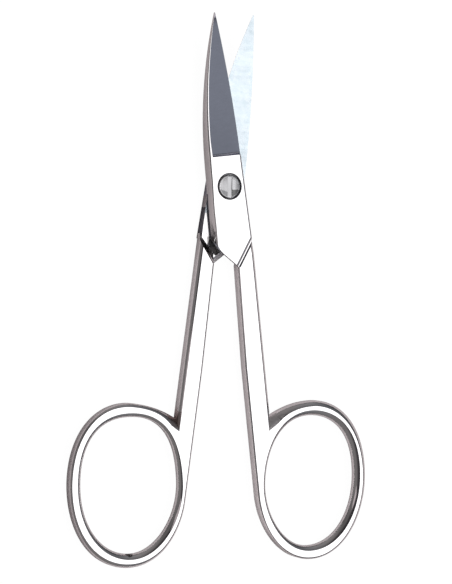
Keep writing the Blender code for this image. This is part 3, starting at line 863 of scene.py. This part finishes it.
def makeFrontHalf():
    # the front chamfer is painted near black for the shade under the free edge
    materials = halfFinishes("front", restOpen, paintedShadeChamfer, grimeAndShadeSpots(frontEdges, frontGrimeAndShade, 1))
    materials.append(steelFinish("frontSeat", seatPaintedShade, restOpen))
    bore = screw["bearing"] + screw["runFit"]
    seat = screw["head"] + screw["headFit"]
    floorZ = stock - screw["sink"]
    rim = screw["rimBreak"]
    profile = [(bore, -stock), (bore, floorZ), (seat, floorZ), (seat, stock - rim)]
    profile += [(seat + rim * out, stock + rim * up) for out, up in screw["rimSteps"]]
    profile.append((profile[-1][0], stock * 2))
    body = halfBody(materials, frontEdges, False)
    tool = lathe(profile, screw["steps"])
    for vert in tool.verts:
        if hypot(vert.co.x, vert.co.y) > seat - screw["slack"]:
            vert.co.x += screw["seatAt"][0]
            vert.co.y += screw["seatAt"][1]
    # painted shade on the seat round the screw's head
    for face in tool.faces:
        face.material_index = onSeat
    body = combine(body, toObject(tool, "bore", materials), "DIFFERENCE")
    half = finishPiece(body, "frontHalf", Matrix.Identity(4), restOpen)
    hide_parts("front_half")
    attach(half, "front")


def makeBackHalf():
    materials = halfFinishes("back", -restOpen, filed, grimeAndShadeSpots(backEdges, backGrime, -1))
    hole = screw["thread"] + screw["threadFit"]
    profile = [(hole, -stock), (hole, 2 * stock)]
    body = halfBody(materials, backEdges, True)
    body = combine(body, toObject(lathe(profile, screw["steps"]), "hole", materials), "DIFFERENCE")
    half = finishPiece(body, "backHalf", Matrix.Rotation(pi, 4, "Y"), -restOpen)
    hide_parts("back_half")
    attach(half, "back")


def screwProfile(seat, top, rim):
    # thread, plain bearing part, then the head with its rounded rim and low dome
    rest = -lapGap / 2 + screw["seatFit"]
    arc, rings = screw["roundSteps"], screw["domeSteps"]
    turns = [i * pi / 2 / arc for i in range(arc + 1)]
    profile = [(screw["thread"], -stock), (screw["thread"], rest), (screw["bearing"], rest)]
    profile += [(screw["bearing"], seat), (screw["head"], seat)]
    profile += [
        (rim + screw["round"] * cos(a), top - screw["round"] * (1 - sin(a))) for a in turns
    ]
    return profile + [
        (rim * (1 - i / rings), top + screw["dome"] * (1 - (1 - i / rings) ** 2)) for i in range(1, rings)
    ]


def makeScrew():
    looks = {"screwTurned": turned, "screwGrease": grease, "screwRim": rimSteel, "screwOil": oilFilm}
    onHead, onGrease, onRim, onFilm = range(len(looks))
    materials = [steelFinish(name, look, 0) for name, look in looks.items()]
    seat = stock - screw["sink"] + screw["seatFit"]
    top = stock + screw["raise"]
    rim = screw["head"] - screw["round"]
    bm = lathe(screwProfile(seat, top, rim), screw["steps"])
    for face in bm.faces:
        x, y, z = face.calc_center_median()
        right = x > screw["greaseAside"] and screw["greaseEnd"] < y < screw["greaseTop"]
        fall = screw["greaseFall"] * (x + screw["greaseFrom"])
        left = x < -screw["greaseAside"] and y < screw["greaseTop"] - fall
        if hypot(x, y) > rim:
            face.material_index = onHead if left or right else onRim
        elif z > top and (left or right):
            face.material_index = onGrease if right else onFilm
    # the head sits a little aside of the bearing part
    slack = screw["slack"]
    for vert in bm.verts:
        neck = hypot(vert.co.x, vert.co.y) < screw["bearing"] + slack and vert.co.z < seat + slack
        if vert.co.z > seat - slack and not neck:
            vert.co.x += screw["headAt"][0]
            vert.co.y += screw["headAt"][1]
    body = toObject(bm, "screw", materials)
    half, reach = screw["slotWidth"] / 2, screw["slotReach"]
    slotFloor = top + screw["dome"] - screw["slotDepth"]
    corners = [(-half, -reach), (half, -reach), (half, reach), (-half, reach)]
    corners = [(x + screw["headAt"][0], y + screw["headAt"][1]) for x, y in corners]
    slotTool = skin([[(x, y, z) for x, y in corners] for z in (slotFloor, top + stock)])
    body = combine(body, toObject(slotTool, "slot", materials), "DIFFERENCE")
    piece = finishPiece(body, "pivotScrew", Matrix.Identity(4), 0)
    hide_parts("pivot_screw")
    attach(piece, "back")


makeFrontHalf()
makeBackHalf()
makeScrew()


# studio: paper and softboxes in metres, card and camera in millimetres

paper = {
    "size": 6.0, "drop": 0.0001, "tone": (0.9, 0.9, 0.9), "seen": 1.06, "shade": 0.08,
    # what the steel mirrors of it, a darker copy of the paper: all round, a painted pool of light between
    # the shanks, and a painted contact shadow where they touch
    "mirrored": (0.64, 0.585, 0.59), "middle": (0.94, 0.87, 0.875), "contactShadow": (0.04, 0.045, 0.06),
    "middleAside": (0.0075, 0.0100), "middleBelow": (-0.013, -0.008),
    "contactReach": 0.0004, "contactFade": (0.5, 0.8), "contactSamples": 8,
}


def mirroredPaper(tree):
    # painted reflection of the paper: lit by the softboxes, lighter in a painted pool between the shanks,
    # darkened by a painted contact shadow near the pieces
    spot = addNode(tree, "ShaderNodeTexCoord")
    split = addNode(tree, "ShaderNodeSeparateXYZ")
    tree.links.new(spot.outputs["Object"], split.inputs[0])
    aside = addNode(tree, "ShaderNodeMath", operation="ABSOLUTE")
    tree.links.new(split.outputs["X"], aside.inputs[0])
    middle = addNode(tree, "ShaderNodeMath", operation="MULTIPLY")
    tree.links.new(ranged(tree, aside.outputs[0], 1, 0, *paper["middleAside"]), middle.inputs[0])
    tree.links.new(ranged(tree, split.outputs["Y"], 1, 0, *paper["middleBelow"]), middle.inputs[1])
    contactShade = addNode(
        tree, "ShaderNodeAmbientOcclusion",
        Distance=paper["contactReach"], samples=paper["contactSamples"],
    )
    first, second, tone = colourMix(tree, ranged(tree, contactShade.outputs["AO"], 0, 1, *paper["contactFade"]))
    first.default_value = (*paper["contactShadow"], 1)
    tree.links.new(toned(tree, middle.outputs[0], paper["mirrored"], paper["middle"]), second)
    mirrored = addNode(tree, "ShaderNodeBsdfDiffuse")
    tree.links.new(tone, mirrored.inputs["Color"])
    return mirrored


def makeFloor():
    bm = bmesh.new()
    bmesh.ops.create_grid(bm, x_segments=4, y_segments=4, size=paper["size"])
    material = bpy.data.materials.new("floorPaper")
    floor = toObject(bm, "floor", [material])
    floor.location.z = -paper["drop"]
    material.use_nodes = True
    tree = material.node_tree
    tree.nodes.clear()
    end = addNode(tree, "ShaderNodeOutputMaterial")
    path = addNode(tree, "ShaderNodeLightPath")
    sheet = addNode(tree, "ShaderNodeBsdfDiffuse", Color=(*paper["tone"], 1))
    bright = addNode(tree, "ShaderNodeEmission", Strength=paper["seen"])
    seen = addNode(tree, "ShaderNodeMixShader")
    seen.inputs[0].default_value = paper["shade"]
    which = addNode(tree, "ShaderNodeMixShader")
    tree.links.new(bright.outputs[0], seen.inputs[1])
    tree.links.new(sheet.outputs[0], seen.inputs[2])
    tree.links.new(path.outputs["Is Camera Ray"], which.inputs[0])
    tree.links.new(mirroredPaper(tree).outputs[0], which.inputs[1])
    tree.links.new(seen.outputs[0], which.inputs[2])
    tree.links.new(which.outputs[0], end.inputs["Surface"])


sky = {
    "dark": (0.05, 0.046, 0.05), "left": (0.19, 0.18, 0.18),
    "right": (0.215, 0.222, 0.238), "low": (0.07, 0.07, 0.075),
    "darkFrom": (0.66, 0.82), "rightFrom": (0.0, 0.75), "lowTo": (0.05, 0.35),
    # strength beyond the tips, and what comes back further out
    "dimmed": (1, 0.62, 0.05, 0.6), "regained": (0, 0.6, 0.66, 0.9),
}


def makeSky():
    # dark beside the softbox, paler down to the left, cool grey on the right, dim beyond the tips
    world = bpy.data.worlds.new("studioSky")
    bpy.context.scene.world = world
    world.use_nodes = True
    tree = world.node_tree
    back = tree.nodes["Background"]
    place = addNode(tree, "ShaderNodeTexCoord")
    split = addNode(tree, "ShaderNodeSeparateXYZ")
    tree.links.new(place.outputs["Generated"], split.inputs[0])
    rise = ranged(tree, split.outputs["Z"], 0, 1, *sky["darkFrom"])
    horizon = ranged(tree, split.outputs["Z"], 0, 1, *sky["lowTo"])
    first, second, mixed = colourMix(tree, ranged(tree, split.outputs["X"], 0, 1, *sky["rightFrom"]))
    tree.links.new(toned(tree, rise, sky["left"], sky["dark"]), first)
    tree.links.new(toned(tree, horizon, sky["low"], sky["right"]), second)
    tree.links.new(mixed, back.inputs["Color"])
    glow = addNode(tree, "ShaderNodeMath", operation="ADD")
    tree.links.new(ranged(tree, split.outputs["Y"], *sky["dimmed"]), glow.inputs[0])
    tree.links.new(ranged(tree, split.outputs["Y"], *sky["regained"]), glow.inputs[1])
    tree.links.new(glow.outputs[0], back.inputs["Strength"])


softboxHeight = 0.45
softboxes = {
    "softbox": {"from": (-0.10, -0.185), "to": (0.34, 0.12), "glow": 1.6, "mirrored": True},
    "fill": {"from": (0.05, -0.30), "to": (0.50, 0.20), "glow": 2.6, "mirrored": False},      # for the paper
}


def makeSoftbox(name, box):
    start, end = box["from"], box["to"]
    light = bpy.data.lights.new(name, "AREA")
    light.shape = "RECTANGLE"
    light.size = end[0] - start[0]
    light.size_y = end[1] - start[1]
    light.energy = box["glow"] * pi * light.size * light.size_y
    item = bpy.data.objects.new(name, light)
    item.location = ((start[0] + end[0]) / 2, (start[1] + end[1]) / 2, softboxHeight)
    item.visible_glossy = box["mirrored"]
    bpy.context.scene.collection.objects.link(item)


card = {
    "aim": (-3.0, -5.0, 2.0), "toward": (-0.54, -0.19, 0.82), "away": 120.0, "size": 34.0,
    "glow": 0.42, "tone": (1.0, 0.90, 0.91),
}


def makeCard():
    # a small pale card that the lap's wall shows by way of the face below it
    light = bpy.data.lights.new("card", "AREA")
    light.size = card["size"] * mm
    light.color = card["tone"]
    light.energy = card["glow"] * pi * light.size ** 2
    item = bpy.data.objects.new("card", light)
    toCard = Vector(card["toward"]).normalized()
    item.location = (Vector(card["aim"]) + toCard * card["away"]) * mm
    item.rotation_euler = toCard.to_track_quat("Z", "Y").to_euler()
    item.visible_camera = False
    bpy.context.scene.collection.objects.link(item)


view = {
    "aside": 26.0, "above": 0.695, "roll": 0.899, "distance": 358.0, "target": (0.477, -17.228, 2.0),
    "focalPixels": 2187.4, "imageHeight": 584, "sensor": 36.0, "clipStart": 10.0,
}


def makeCamera():
    a, b, roll = (radians(view[name]) for name in ("aside", "above", "roll"))
    toCamera = Vector((-sin(a) * cos(b), sin(b), cos(a) * cos(b)))
    right = (-toCamera).cross(Vector((0, 1, 0))).normalized()
    up = right.cross(-toCamera)
    across = right * cos(roll) + up * sin(roll)
    upward = up * cos(roll) - right * sin(roll)
    turn = Matrix((across, upward, toCamera)).transposed().to_4x4()
    data = bpy.data.cameras.new("camera")
    data.sensor_fit = "VERTICAL"
    data.sensor_height = view["sensor"]
    data.lens = data.sensor_height * view["focalPixels"] / view["imageHeight"]
    data.clip_start = view["clipStart"] * mm
    camera = bpy.data.objects.new("camera", data)
    place = Vector(view["target"]) * mm + toCamera * view["distance"] * mm
    camera.matrix_world = Matrix.Translation(place) @ turn
    bpy.context.scene.collection.objects.link(camera)
    bpy.context.scene.camera = camera


makeFloor()
makeSky()
for boxName, boxValues in softboxes.items():
    makeSoftbox(boxName, boxValues)
makeCard()
makeCamera()
bpy.context.scene.view_settings.view_transform = "Standard"
print("studio set")
